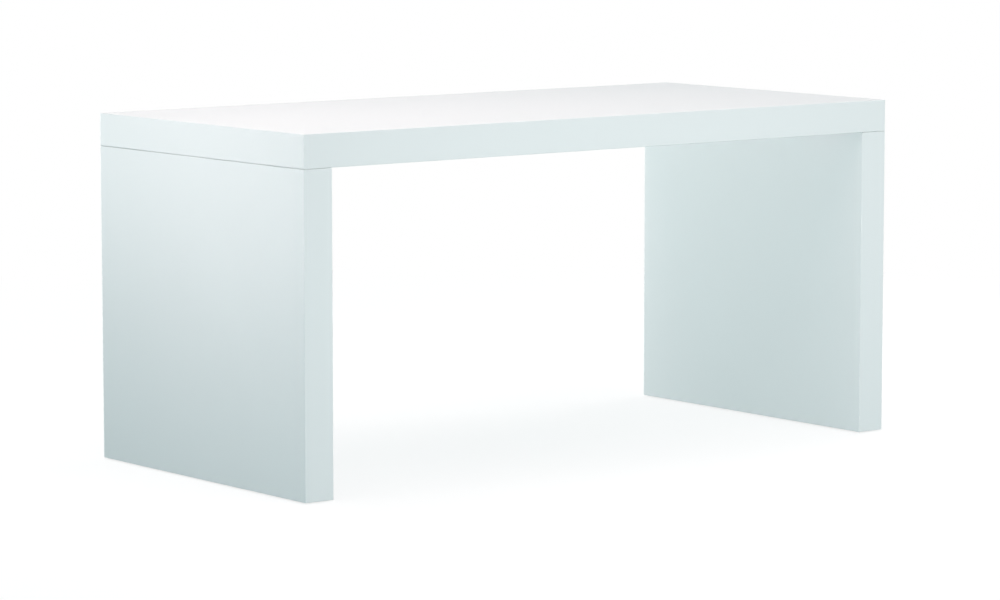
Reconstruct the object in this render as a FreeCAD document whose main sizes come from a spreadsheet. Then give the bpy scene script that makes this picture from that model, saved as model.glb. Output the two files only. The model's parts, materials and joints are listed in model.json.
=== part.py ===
import FreeCAD, Part
import os
import Sketcher

# A slab table: a hollow-core top on two hollow-core ends, flush on every outer face.
# Millimetres. The origin is on the floor under the table's centre, +X runs along the
# length to the right, -Y is the front and +Z is up.

V = FreeCAD.Vector

# Driving dimensions: name, value, meaning
SIZES = (
    ("table_length", 1600, "left end to right end"),
    ("table_width", 750, "front to back"),
    ("table_height", 750, "floor to table top"),
    ("top_thickness", 70, "slab top"),
    ("leg_thickness", 70, "slab ends"),
    ("arris", 1, "radius on the outer edges"),
    ("seam_gap", 0.5, "shadow line between the top and the lacquered pieces of an end"),
    ("top_skin", 12, "upper sheet of the top"),
    ("under_skin", 9, "lower sheet of the top"),
    ("leg_skin", 9, "sheets of the ends"),
    ("long_rail", 45, "front and rear rails of the top, front to back"),
    ("batten_width", 95, "fixing battens, along the length"),
    ("stile_width", 45, "stiles of the ends, front to back"),
    ("top_rail_height", 80, "top rails of the ends"),
    ("bottom_rail_height", 60, "bottom rails of the ends"),
    ("rib_thickness", 12, "lattice ribs"),
    ("tongue_thickness", 15, "tongues on the rails"),
    ("tongue_length", 12, "tongues on the rails"),
    ("joint_clearance", 0.1, "glue room in tongues and laps, and round screw heads"),
    ("fit_clearance", 0.05, "radial room of round pieces in their holes"),
    ("end_room", 1, "room past the end of a piece in a blind hole"),
    ("plate_thickness", 5, "angle plates"),
    ("plate_width", 110, "angle plates, front to back"),
    ("plate_reach", 60, "flange under the top, from the end's inner face"),
    ("plate_drop", 60, "flange down the end's core"),
    ("plate_bend", 4, "outer radius of the bend"),
    ("plate_corner", 8, "corner radius of the flange under the top"),
    ("plate_inset", 125, "front or back of the end to the middle of an outer plate"),
    ("plate_clearance", 0.2, "room beside the plates"),
    ("bolt_diameter", 8, "plate bolts"),
    ("bolt_head", 16, "countersunk head across"),
    ("bolt_length", 30, "plate bolts over all"),
    ("bolt_clearance", 0.5, "radial room round the bolts in plate and sheet"),
    ("bolt_pitch", 70, "bolt to bolt in one plate"),
    ("bolt_inset", 32, "end's inner face to the bolts"),
    ("key_flats", 5, "hexagon socket in the bolt"),
    ("key_depth", 3, "hexagon socket in the bolt"),
    ("insert_diameter", 12, "threaded inserts for the bolts"),
    ("insert_length", 22, "threaded inserts for the bolts"),
    ("screw_diameter", 4.5, "plate screws"),
    ("screw_head", 9, "countersunk head across"),
    ("screw_length", 35, "plate screws over all"),
    ("screw_clearance", 0.25, "radial room round the screws in the plate"),
    ("screw_pitch", 64, "screw to screw in one plate"),
    ("screw_drop", 36, "end's top edge to the screws"),
    ("dowel_diameter", 10, "dowels between top and end"),
    ("dowel_length", 60, "dowels between top and end"),
    ("dowel_chamfer", 1, "dowel ends"),
    ("foot_gap", 3, "floor to the end's lower edge"),
    ("glide_inset", 80, "front or back of the end to a glide"),
    ("pad_diameter", 32, "glide pad"),
    ("pad_floor", 1.2, "glide pad under the ball"),
    ("pad_round", 1, "glide pad's edges"),
    ("pad_room", 2, "room round the pad in its recess"),
    ("ball_diameter", 8, "ball on the stud"),
    ("ball_clearance", 0.3, "room round the ball in the pad"),
    ("neck_diameter", 5.5, "stud between ball and collar"),
    ("neck_clearance", 0.75, "room round the neck in the mouth of the pad"),
    ("collar_gap", 0.5, "pad to collar"),
    ("collar_flats", 13, "hexagon collar across flats"),
    ("collar_height", 5, "hexagon collar"),
    ("stud_diameter", 8, "stud's thread"),
    ("stud_length", 30, "thread above the collar"),
    ("stud_tip", 1, "chamfer of the stud's tip"),
    ("sleeve_diameter", 12, "glide insert's sleeve"),
    ("sleeve_length", 22, "glide insert over all"),
    ("sleeve_flange", 24, "glide insert's flange across"),
    ("flange_thickness", 2, "glide insert's flange"),
    ("tip_room", 3, "room above the stud's tip"),
)

CROSS_RIBS = 5
PLATES = (("front", -1), ("middle", 0), ("rear", 1))
ENDS = (("left", -1), ("right", 1))
DEPTHS = (("front", -1), ("rear", 1))

doc = FreeCAD.newDocument("slab_table")
sheet = doc.addObject("Spreadsheet::Sheet", "Sizes")
for row, (alias, number, meaning) in enumerate(SIZES, start=1):
    sheet.set(f"A{row}", meaning)
    sheet.set(f"B{row}", str(number))
    sheet.setAlias(f"B{row}", alias)
doc.recompute()

# Places worked out from the driving dimensions
HALF_LENGTH = "Sizes.table_length / 2"
HALF_WIDTH = "Sizes.table_width / 2"
UNDERSIDE = "(Sizes.table_height - Sizes.top_thickness)"
CORE_BASE = f"({UNDERSIDE} + Sizes.under_skin)"
CORE = "(Sizes.top_thickness - Sizes.top_skin - Sizes.under_skin)"
FRAME_HALF = "(Sizes.table_width / 2 - Sizes.long_rail)"
LATTICE_HALF = "(Sizes.table_length / 2 - Sizes.leg_thickness - Sizes.batten_width)"
LEG_HEIGHT = f"({UNDERSIDE} - Sizes.foot_gap)"
FACE_HEIGHT = f"({LEG_HEIGHT} - Sizes.seam_gap)"
LEG_CORE = "(Sizes.leg_thickness - 2 * Sizes.leg_skin)"
LEG_HALF = "(Sizes.table_width / 2 - Sizes.stile_width)"
LEG_MIDDLE = "(Sizes.table_length / 2 - Sizes.leg_thickness / 2)"
LEG_INNER = "(Sizes.table_length / 2 - Sizes.leg_thickness)"
UPRIGHT = f"({LEG_HEIGHT} - Sizes.top_rail_height - Sizes.bottom_rail_height)"
NOTCH = "(Sizes.rib_thickness / 2 + Sizes.joint_clearance)"
PLATE_FACE = "(Sizes.leg_skin + Sizes.plate_thickness)"
PLATE_SIDE = "(Sizes.plate_width / 2 + Sizes.plate_clearance)"
PLATE_PLACE = "(Sizes.table_width / 2 - Sizes.plate_inset)"
DOWEL_PLACE = f"({PLATE_PLACE} / 2)"
TOP_RIB_PLACE = f"({FRAME_HALF} / 3)"
LEG_RIB_PLACE = f"({LEG_HALF} / 3)"
BOLT_HOLE = "(Sizes.bolt_diameter + 2 * Sizes.bolt_clearance)"
SCREW_HOLE = "(Sizes.screw_diameter + 2 * Sizes.screw_clearance)"
GLIDE_PLACE = "(Sizes.table_width / 2 - Sizes.glide_inset)"
DOWEL_BORE = "Sizes.dowel_diameter + 2 * Sizes.fit_clearance"
SOCKET_RADIUS = "(Sizes.ball_diameter / 2 + Sizes.ball_clearance)"
MOUTH_RADIUS = "(Sizes.neck_diameter / 2 + Sizes.neck_clearance)"
BALL_HEIGHT = f"(Sizes.pad_floor + {SOCKET_RADIUS})"
PAD_HEIGHT = f"({BALL_HEIGHT} + sqrt({SOCKET_RADIUS} ^ 2 - {MOUTH_RADIUS} ^ 2))"
COLLAR_BASE = f"({PAD_HEIGHT} + Sizes.collar_gap)"
COLLAR_TOP = f"({COLLAR_BASE} + Sizes.collar_height)"

pieces = []


def value(expression):
    """The number that an expression gives now."""
    return float(sheet.evalExpression(expression))


def new_body(label):
    """An empty body that becomes one piece of the table."""
    body = doc.addObject("PartDesign::Body", label)
    body.Label = label
    pieces.append(body)
    return body


def place(piece, x, y, z, turned=False):
    """Put a piece in the table, half turned about its own upright axis where it faces the other way."""
    angle = 180 if turned else 0
    piece.Placement = FreeCAD.Placement(V(), FreeCAD.Rotation(V(0, 0, 1), angle))
    for axis, expression in zip("xyz", (x, y, z)):
        piece.setExpression(f"Placement.Base.{axis}", expression)


def new_sketch(body, role, name, lift="0"):
    """A sketch on one of the body's own planes, lifted along that plane's normal."""
    sketch = body.newObject("Sketcher::SketchObject", f"{body.Label}_{name}_sketch")
    plane = next(item for item in body.Origin.OriginFeatures if item.Role == role)
    sketch.AttachmentSupport = [(plane, "")]
    sketch.MapMode = "FlatFace"
    sketch.setExpression("AttachmentOffset.Base.z", lift)
    return sketch


def hold(sketch, kind, geometry, point, expression):
    """Hold a point of the sketch at a distance from the sketch's origin."""
    rule = Sketcher.Constraint(kind, -1, 1, geometry, point, value(expression))
    index = sketch.addConstraint(rule)
    sketch.setExpression(f"Constraints[{index}]", expression)


def draw_outline(sketch, points):
    """A closed outline of straight sides, with each corner held by two expressions."""
    first = sketch.GeometryCount
    count = len(points)
    corners = [V(value(across), value(up), 0) for across, up in points]
    for side in range(count):
        sketch.addGeometry(Part.LineSegment(corners[side], corners[(side + 1) % count]))
    for side in range(count):
        follower = first + (side + 1) % count
        sketch.addConstraint(Sketcher.Constraint("Coincident", first + side, 2, follower, 1))
    for corner, (across, up) in enumerate(points):
        hold(sketch, "DistanceX", first + corner, 1, across)
        hold(sketch, "DistanceY", first + corner, 1, up)


def draw_rectangle(sketch, left, low, right, high):
    """A rectangle between two corners."""
    draw_outline(sketch, [(left, low), (right, low), (right, high), (left, high)])


def draw_centred(sketch, width, height):
    """A rectangle about the sketch's origin."""
    draw_rectangle(sketch, f"-({width}) / 2", f"-({height}) / 2", f"({width}) / 2", f"({height}) / 2")


def draw_circle(sketch, across, up, diameter):
    """A circle with its centre and diameter held by expressions."""
    ring = Part.Circle(V(value(across), value(up), 0), V(0, 0, 1), value(diameter) / 2)
    index = sketch.addGeometry(ring)
    hold(sketch, "DistanceX", index, 3, across)
    hold(sketch, "DistanceY", index, 3, up)
    size = sketch.addConstraint(Sketcher.Constraint("Diameter", index, value(diameter)))
    sketch.setExpression(f"Constraints[{size}]", diameter)


def draw_hexagon(sketch, flats):
    """A hexagon about the sketch's origin, given across its flats."""
    half = f"{flats} / 2"
    point = f"{flats} / sqrt(3)"
    draw_outline(sketch, [
        (point, "0"),
        (f"{point} / 2", half),
        (f"-{point} / 2", half),
        (f"-{point}", "0"),
        (f"-{point} / 2", f"-{half}"),
        (f"{point} / 2", f"-{half}"),
    ])


def pad(body, sketch, length, name, symmetric=False):
    """Raise a sketch into a solid, to one side or evenly to both."""
    feature = body.newObject("PartDesign::Pad", f"{body.Label}_{name}")
    feature.Profile = sketch
    feature.setExpression("Length", length)
    if symmetric:
        feature.SideType = "Symmetric"
    doc.recompute()
    return feature


def pocket(body, sketch, name, depth=None, upward=False):
    """Cut a sketch into the body, to a depth or right through, and see that it cut."""
    before = body.Shape.Volume
    feature = body.newObject("PartDesign::Pocket", f"{body.Label}_{name}")
    feature.Profile = sketch
    feature.Reversed = upward
    if depth is None:
        feature.Type = "ThroughAll"
    else:
        feature.setExpression("Length", depth)
    doc.recompute()
    if not feature.Shape.Volume < before:
        raise ValueError(f"{body.Label}_{name} cuts nothing")
    return feature


def revolve(body, sketch, axis, name):
    """Turn a profile about one of its sketch's axes."""
    feature = body.newObject("PartDesign::Revolution", f"{body.Label}_{name}")
    feature.Profile = sketch
    feature.ReferenceAxis = (sketch, [axis])
    feature.Angle = 360
    doc.recompute()
    return feature


def edge_names(feature, wanted):
    """The names of a feature's edges that a test picks."""
    return [f"Edge{number}" for number, edge in enumerate(feature.Shape.Edges, start=1) if wanted(edge)]


def lies_at(edge, **coordinates):
    """Whether all of an edge's ends have the given coordinates."""
    near = 1e-4
    return all(
        abs(getattr(vertex.Point, axis) - number) < near
        for vertex in edge.Vertexes
        for axis, number in coordinates.items()
    )


def is_rim(edge, diameter, **coordinates):
    """Whether an edge is the rim of a hole of that diameter, in the plane given."""
    near = 1e-3
    radius = getattr(edge.Curve, "Radius", 0)
    return lies_at(edge, **coordinates) and abs(2 * radius - value(diameter)) < near


def ease(body, wanted, radius="Sizes.arris", name="eased"):
    """Round the picked edges of the body as it is so far."""
    base = body.Tip
    feature = body.newObject("PartDesign::Fillet", f"{body.Label}_{name}")
    feature.Base = (base, edge_names(base, wanted))
    feature.setExpression("Radius", radius)
    doc.recompute()
    return feature


def sink(body, wanted, depth, name):
    """Countersink the picked hole edges."""
    base = body.Tip
    feature = body.newObject("PartDesign::Chamfer", f"{body.Label}_{name}")
    feature.Base = (base, edge_names(base, wanted))
    feature.setExpression("Size", depth)
    doc.recompute()
    return feature


def repeat(body, originals, sketch, rows):
    """Repeat one fastener along its profile sketch's normal, in rows of count and overall length."""
    steps = []
    places = body.newObject("PartDesign::MultiTransform", f"{body.Label}_places")
    places.Originals = originals
    for number, (count, length) in enumerate(rows, start=1):
        step = body.newObject("PartDesign::LinearPattern", f"{body.Label}_row_{number}")
        step.Direction = (sketch, ["N_Axis"])
        step.Occurrences = count
        step.setExpression("Length", length)
        steps.append(step)
    places.Transformations = steps
    body.Tip = places
    doc.recompute()


def comb(start, end, open_edge, back_edge, notch_end, notches):
    """Outline of a lattice rib, with a notch for each rib that it crosses, opening on one long edge."""
    points = [(start, open_edge)]
    for middle in notches:
        points += [
            (f"{middle} - {NOTCH}", open_edge),
            (f"{middle} - {NOTCH}", notch_end),
            (f"{middle} + {NOTCH}", notch_end),
            (f"{middle} + {NOTCH}", open_edge),
        ]
    return points + [(end, open_edge), (end, back_edge), (start, back_edge)]


# Slab top

def make_top_skin():
    body = new_body("top_skin")
    sketch = new_sketch(body, "XY_Plane", "sheet")
    draw_centred(sketch, "Sizes.table_length", "Sizes.table_width")
    pad(body, sketch, "Sizes.top_skin", "sheet")
    ease(body, lambda edge: not lies_at(edge, z=0))
    place(body, "0", "0", "Sizes.table_height - Sizes.top_skin")


def make_underside_skin():
    """The lower sheet, let in for the angle plates and drilled for bolts and dowels."""
    body = new_body("underside_skin")
    sheet_top = value("Sizes.under_skin")
    sketch = new_sketch(body, "XY_Plane", "sheet")
    draw_centred(sketch, "Sizes.table_length", "Sizes.table_width")
    pad(body, sketch, "Sizes.under_skin", "sheet")
    ease(body, lambda edge: not lies_at(edge, z=sheet_top))
    recesses = new_sketch(body, "XY_Plane", "recesses")
    bolts = new_sketch(body, "XY_Plane", "bolts")
    dowels = new_sketch(body, "XY_Plane", "dowels")
    for _, side in ENDS:
        inner = f"{side} * ({LEG_INNER} - Sizes.plate_reach - Sizes.plate_clearance)"
        outer = f"{side} * ({LEG_INNER} + {PLATE_FACE} + Sizes.plate_clearance)"
        for _, step in PLATES:
            middle = f"{step} * {PLATE_PLACE}"
            draw_rectangle(recesses, inner, f"{middle} - {PLATE_SIDE}", outer, f"{middle} + {PLATE_SIDE}")
            for _, hand in DEPTHS:
                along = f"{side} * ({LEG_INNER} - Sizes.bolt_inset)"
                draw_circle(bolts, along, f"{middle} + {hand} * Sizes.bolt_pitch / 2", BOLT_HOLE)
        for _, hand in DEPTHS:
            draw_circle(dowels, f"{side} * {LEG_MIDDLE}", f"{hand} * {DOWEL_PLACE}", DOWEL_BORE)
    pocket(body, recesses, "plate_recesses", "Sizes.plate_thickness", upward=True)
    pocket(body, bolts, "bolt_holes", upward=True)
    pocket(body, dowels, "dowel_holes", upward=True)
    place(body, "0", "0", UNDERSIDE)


def make_long_rail(label, hand):
    """Front or rear rail, slotted near its ends for the tongues of the end rails."""
    body = new_body(label)
    half_length = value(HALF_LENGTH)
    outer_face = -value("Sizes.long_rail") / 2
    sketch = new_sketch(body, "XY_Plane", "rail")
    draw_centred(sketch, "Sizes.table_length", "Sizes.long_rail")
    pad(body, sketch, CORE, "rail")
    ease(body, lambda edge: any(lies_at(edge, x=end * half_length, y=outer_face) for _, end in ENDS))
    slots = new_sketch(body, "XY_Plane", "slots")
    slot_half = "(Sizes.tongue_thickness / 2 + Sizes.joint_clearance)"
    inner_face = "Sizes.long_rail / 2"
    slot_floor = f"{inner_face} - Sizes.tongue_length - Sizes.joint_clearance"
    for _, side in ENDS:
        middle = f"{side} * {LEG_MIDDLE}"
        draw_rectangle(slots, f"{middle} - {slot_half}", slot_floor, f"{middle} + {slot_half}", inner_face)
    pocket(body, slots, "slots", upward=True)
    place(body, "0", f"{hand} * ({HALF_WIDTH} - Sizes.long_rail / 2)", CORE_BASE, turned=hand > 0)


def make_end_rail(label, side):
    """End rail of the top, tongued into the long rails and bored for the dowels."""
    body = new_body(label)
    sketch = new_sketch(body, "XY_Plane", "rail")
    draw_centred(sketch, "Sizes.leg_thickness", f"2 * {FRAME_HALF}")
    pad(body, sketch, CORE, "rail")
    tongues = new_sketch(body, "XY_Plane", "tongues")
    draw_centred(tongues, "Sizes.tongue_thickness", f"2 * ({FRAME_HALF} + Sizes.tongue_length)")
    pad(body, tongues, CORE, "tongues")
    dowels = new_sketch(body, "XY_Plane", "dowels")
    for _, hand in DEPTHS:
        draw_circle(dowels, "0", f"{hand} * {DOWEL_PLACE}", DOWEL_BORE)
    depth = "Sizes.dowel_length / 2 - Sizes.under_skin + Sizes.end_room"
    pocket(body, dowels, "dowel_holes", depth, upward=True)
    place(body, f"{side} * {LEG_MIDDLE}", "0", CORE_BASE)


def make_fixing_batten(label, side):
    """Batten beside an end rail that holds the threaded inserts."""
    body = new_body(label)
    sketch = new_sketch(body, "XY_Plane", "batten")
    draw_centred(sketch, "Sizes.batten_width", f"2 * {FRAME_HALF}")
    pad(body, sketch, CORE, "batten")
    holes = new_sketch(body, "XY_Plane", "holes")
    for _, step in PLATES:
        for _, hand in DEPTHS:
            across = "Sizes.batten_width / 2 - Sizes.bolt_inset"
            along = f"{step} * {PLATE_PLACE} + {hand} * Sizes.bolt_pitch / 2"
            draw_circle(holes, across, along, "Sizes.insert_diameter + 2 * Sizes.fit_clearance")
    depth = "max(Sizes.insert_length; Sizes.bolt_length - Sizes.under_skin) + Sizes.end_room"
    pocket(body, holes, "insert_holes", depth, upward=True)
    place(body, f"{side} * ({LEG_INNER} - Sizes.batten_width / 2)", "0", CORE_BASE, turned=side < 0)


def cross_rib_place(number):
    """Where a cross rib stands along the table, evenly spaced between the battens."""
    return f"{LATTICE_HALF} * {2 * number - CROSS_RIBS - 1} / {CROSS_RIBS + 1}"


def make_long_rib(label, hand):
    """Rib along the table, notched from above for the cross ribs."""
    body = new_body(label)
    sketch = new_sketch(body, "XZ_Plane", "rib")
    notches = [cross_rib_place(number) for number in range(1, CROSS_RIBS + 1)]
    notch_end = f"{CORE} / 2 - Sizes.joint_clearance"
    draw_outline(sketch, comb(f"-{LATTICE_HALF}", LATTICE_HALF, CORE, "0", notch_end, notches))
    pad(body, sketch, "Sizes.rib_thickness", "rib", symmetric=True)
    place(body, "0", f"{hand} * {TOP_RIB_PLACE}", CORE_BASE)


def make_cross_rib(number):
    """Rib across the table, notched from below for the long ribs."""
    body = new_body(f"top_cross_rib_{number}")
    sketch = new_sketch(body, "YZ_Plane", "rib")
    notches = [f"{hand} * {TOP_RIB_PLACE}" for _, hand in DEPTHS]
    notch_end = f"{CORE} / 2 + Sizes.joint_clearance"
    draw_outline(sketch, comb(f"-{FRAME_HALF}", FRAME_HALF, "0", CORE, notch_end, notches))
    pad(body, sketch, "Sizes.rib_thickness", "rib", symmetric=True)
    place(body, cross_rib_place(number), "0", CORE_BASE)


# Slab ends

def make_leg_skin(label, side, outer):
    """Outer or inner sheet of an end, eased on its shown edges and just clear of the top."""
    body = new_body(label)
    glued_face = 0 if outer else value("Sizes.leg_skin")
    sketch = new_sketch(body, "YZ_Plane", "sheet")
    draw_rectangle(sketch, f"-{HALF_WIDTH}", "0", HALF_WIDTH, FACE_HEIGHT)
    pad(body, sketch, "Sizes.leg_skin", "sheet")
    ease(body, lambda edge: not lies_at(edge, x=glued_face))
    inset = f"{HALF_LENGTH} - Sizes.leg_skin" if outer else LEG_INNER
    place(body, f"{side} * ({inset})", "0", "Sizes.foot_gap", turned=side < 0)


def make_stile(label, side, hand):
    """Front or rear stile of an end, grooved for the rails' tongues and just clear of the top."""
    body = new_body(label)
    outer_face = -value("Sizes.stile_width") / 2
    stile_height = value(FACE_HEIGHT)
    sketch = new_sketch(body, "XY_Plane", "stile")
    draw_centred(sketch, LEG_CORE, "Sizes.stile_width")
    pad(body, sketch, FACE_HEIGHT, "stile")
    ease(body, lambda edge: any(lies_at(edge, y=outer_face, z=height) for height in (0, stile_height)))
    groove = new_sketch(body, "XY_Plane", "groove")
    half = "Sizes.tongue_thickness / 2 + Sizes.joint_clearance"
    floor = "Sizes.stile_width / 2 - Sizes.tongue_length - Sizes.joint_clearance"
    draw_rectangle(groove, f"-({half})", floor, half, "Sizes.stile_width / 2")
    pocket(body, groove, "groove", upward=True)
    depth = f"{hand} * ({HALF_WIDTH} - Sizes.stile_width / 2)"
    place(body, f"{side} * {LEG_MIDDLE}", depth, "Sizes.foot_gap", turned=hand > 0)


def start_leg_rail(label, height):
    """A rail of an end with a tongue at each side, standing on its own lower face."""
    body = new_body(label)
    sketch = new_sketch(body, "XY_Plane", "rail")
    draw_centred(sketch, LEG_CORE, f"2 * {LEG_HALF}")
    pad(body, sketch, height, "rail")
    tongues = new_sketch(body, "XY_Plane", "tongues")
    draw_centred(tongues, "Sizes.tongue_thickness", f"2 * ({LEG_HALF} + Sizes.tongue_length)")
    pad(body, tongues, height, "tongues")
    return body


def make_leg_top_rail(label, side):
    """Top rail of an end, which carries the top, rebated for the plates and bored for their screws."""
    body = start_leg_rail(label, "Sizes.top_rail_height")
    rebates = new_sketch(body, "XY_Plane", "rebates", lift="Sizes.top_rail_height")
    screws = new_sketch(body, "YZ_Plane", "screws", lift=f"-{LEG_CORE} / 2")
    dowels = new_sketch(body, "XY_Plane", "dowels", lift="Sizes.top_rail_height")
    for _, step in PLATES:
        middle = f"{step} * {PLATE_PLACE}"
        inner = f"-{LEG_CORE} / 2"
        floor = f"{inner} + Sizes.plate_thickness"
        draw_rectangle(rebates, inner, f"{middle} - {PLATE_SIDE}", floor, f"{middle} + {PLATE_SIDE}")
        for _, hand in DEPTHS:
            along = f"{middle} + {hand} * Sizes.screw_pitch / 2"
            height = "Sizes.top_rail_height - Sizes.screw_drop"
            draw_circle(screws, along, height, "Sizes.screw_diameter + 2 * Sizes.fit_clearance")
    for _, hand in DEPTHS:
        draw_circle(dowels, "0", f"{hand} * {DOWEL_PLACE}", DOWEL_BORE)
    pocket(body, rebates, "plate_rebates", "Sizes.plate_drop + Sizes.plate_clearance")
    pocket(body, screws, "screw_holes", "Sizes.screw_length + Sizes.end_room", upward=True)
    pocket(body, dowels, "dowel_holes", "Sizes.dowel_length / 2 + Sizes.end_room")
    base = f"{UNDERSIDE} - Sizes.top_rail_height"
    place(body, f"{side} * {LEG_MIDDLE}", "0", base, turned=side < 0)


def make_leg_bottom_rail(label, side):
    """Bottom rail of an end, recessed for the glide pads and bored for their inserts and studs."""
    body = start_leg_rail(label, "Sizes.bottom_rail_height")
    recesses = new_sketch(body, "XY_Plane", "recesses")
    sleeves = new_sketch(body, "XY_Plane", "sleeves")
    tips = new_sketch(body, "XY_Plane", "tips")
    for _, hand in DEPTHS:
        along = f"{hand} * {GLIDE_PLACE}"
        draw_circle(recesses, "0", along, "Sizes.pad_diameter + 2 * Sizes.pad_room")
        draw_circle(sleeves, "0", along, "Sizes.sleeve_diameter + 2 * Sizes.fit_clearance")
        draw_circle(tips, "0", along, "Sizes.stud_diameter + 2 * Sizes.end_room")
    recess_depth = f"{COLLAR_TOP} + Sizes.flange_thickness - Sizes.foot_gap"
    sleeve_depth = f"{COLLAR_TOP} + Sizes.sleeve_length - Sizes.foot_gap"
    tip_depth = f"{COLLAR_TOP} + Sizes.stud_length + Sizes.tip_room - Sizes.foot_gap"
    pocket(body, recesses, "pad_recesses", recess_depth, upward=True)
    pocket(body, sleeves, "sleeve_holes", sleeve_depth, upward=True)
    pocket(body, tips, "tip_holes", tip_depth, upward=True)
    place(body, f"{side} * {LEG_MIDDLE}", "0", "Sizes.foot_gap", turned=side < 0)


def make_upright_rib(label, side, hand):
    """Rib that stands between the rails of an end, notched on its outer edge."""
    body = new_body(label)
    sketch = new_sketch(body, "XZ_Plane", "rib")
    notches = [f"{UPRIGHT} * {third} / 3" for third in (1, 2)]
    outline = comb("0", UPRIGHT, f"{LEG_CORE} / 2", f"-{LEG_CORE} / 2", "-Sizes.joint_clearance", notches)
    draw_outline(sketch, [(across, along) for along, across in outline])
    pad(body, sketch, "Sizes.rib_thickness", "rib", symmetric=True)
    base = "Sizes.foot_gap + Sizes.bottom_rail_height"
    place(body, f"{side} * {LEG_MIDDLE}", f"{hand} * {LEG_RIB_PLACE}", base, turned=side < 0)


def make_leg_cross_rib(label, side, third):
    """Rib between the stiles of an end, notched on its inner edge."""
    body = new_body(label)
    sketch = new_sketch(body, "XY_Plane", "rib")
    notches = [f"{hand} * {LEG_RIB_PLACE}" for _, hand in DEPTHS]
    notch_end = "Sizes.joint_clearance"
    outline = comb(f"-{LEG_HALF}", LEG_HALF, f"-{LEG_CORE} / 2", f"{LEG_CORE} / 2", notch_end, notches)
    draw_outline(sketch, [(across, along) for along, across in outline])
    pad(body, sketch, "Sizes.rib_thickness", "rib", symmetric=True)
    height = f"Sizes.foot_gap + Sizes.bottom_rail_height + {UPRIGHT} * {third} / 3"
    place(body, f"{side} * {LEG_MIDDLE}", "0", height, turned=side < 0)


# Knock-down joint between the top and an end

def make_fixing_plate(label, side, step):
    """Angle plate: one flange flush in the underside of the top, the other behind the end's inner sheet."""
    body = new_body(label)
    thickness = value("Sizes.plate_thickness")
    reach = value("Sizes.plate_reach")
    outer_face = value(PLATE_FACE)
    skin = value("Sizes.leg_skin")
    section = new_sketch(body, "XZ_Plane", "section")
    draw_outline(section, [
        ("-Sizes.plate_reach", "0"),
        ("Sizes.leg_skin", "0"),
        ("Sizes.leg_skin", "-Sizes.plate_drop"),
        (PLATE_FACE, "-Sizes.plate_drop"),
        (PLATE_FACE, "Sizes.plate_thickness"),
        ("-Sizes.plate_reach", "Sizes.plate_thickness"),
    ])
    pad(body, section, "Sizes.plate_width", "section", symmetric=True)
    ease(body, lambda edge: lies_at(edge, x=outer_face, z=thickness), "Sizes.plate_bend", "bend")

    def flange_corner(edge):
        return lies_at(edge, x=-reach) and abs(edge.Vertexes[0].Z - edge.Vertexes[-1].Z) > thickness / 2

    ease(body, flange_corner, "Sizes.plate_corner", "corners")
    bolts = new_sketch(body, "XY_Plane", "bolts")
    screws = new_sketch(body, "YZ_Plane", "screws", lift="Sizes.leg_skin")
    for _, hand in DEPTHS:
        draw_circle(bolts, "-Sizes.bolt_inset", f"{hand} * Sizes.bolt_pitch / 2", BOLT_HOLE)
        draw_circle(screws, f"{hand} * Sizes.screw_pitch / 2", "-Sizes.screw_drop", SCREW_HOLE)
    bolt_sink = f"(Sizes.bolt_head - {BOLT_HOLE}) / 2 + Sizes.joint_clearance"
    screw_sink = f"(Sizes.screw_head - {SCREW_HOLE}) / 2 + Sizes.joint_clearance"
    pocket(body, bolts, "bolt_holes", upward=True)
    sink(body, lambda edge: is_rim(edge, BOLT_HOLE, z=0), bolt_sink, "bolt_sinks")
    pocket(body, screws, "screw_holes", "Sizes.plate_thickness", upward=True)
    sink(body, lambda edge: is_rim(edge, SCREW_HOLE, x=skin), screw_sink, "screw_sinks")
    place(body, f"{side} * {LEG_INNER}", f"{step} * {PLATE_PLACE}", UNDERSIDE, turned=side < 0)


def make_plate_bolts(label, side):
    """Countersunk bolts of one end, heads flush with the plates."""
    body = new_body(label)
    profile = new_sketch(body, "XZ_Plane", "profile")
    draw_outline(profile, [
        ("0", "0"),
        ("Sizes.bolt_head / 2", "0"),
        ("Sizes.bolt_diameter / 2", "(Sizes.bolt_head - Sizes.bolt_diameter) / 2"),
        ("Sizes.bolt_diameter / 2", "Sizes.bolt_length"),
        ("0", "Sizes.bolt_length"),
    ])
    turned = revolve(body, profile, "V_Axis", "turned")
    key = new_sketch(body, "XY_Plane", "key")
    draw_hexagon(key, "Sizes.key_flats")
    socket = pocket(body, key, "key", "Sizes.key_depth", upward=True)
    repeat(body, [turned, socket], profile, [(2, "Sizes.bolt_pitch"), (3, f"2 * {PLATE_PLACE}")])
    along = f"{side} * ({PLATE_PLACE} + Sizes.bolt_pitch / 2)"
    place(body, f"{side} * ({LEG_INNER} - Sizes.bolt_inset)", along, UNDERSIDE, turned=side < 0)


def make_threaded_inserts(label, side):
    """Inserts in a fixing batten that take the plate bolts."""
    body = new_body(label)
    bore = "Sizes.bolt_diameter / 2 + Sizes.fit_clearance"
    profile = new_sketch(body, "XZ_Plane", "profile")
    draw_rectangle(profile, bore, "0", "Sizes.insert_diameter / 2", "Sizes.insert_length")
    turned = revolve(body, profile, "V_Axis", "turned")
    repeat(body, [turned], profile, [(2, "Sizes.bolt_pitch"), (3, f"2 * {PLATE_PLACE}")])
    along = f"{side} * ({PLATE_PLACE} + Sizes.bolt_pitch / 2)"
    place(body, f"{side} * ({LEG_INNER} - Sizes.bolt_inset)", along, CORE_BASE, turned=side < 0)


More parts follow.
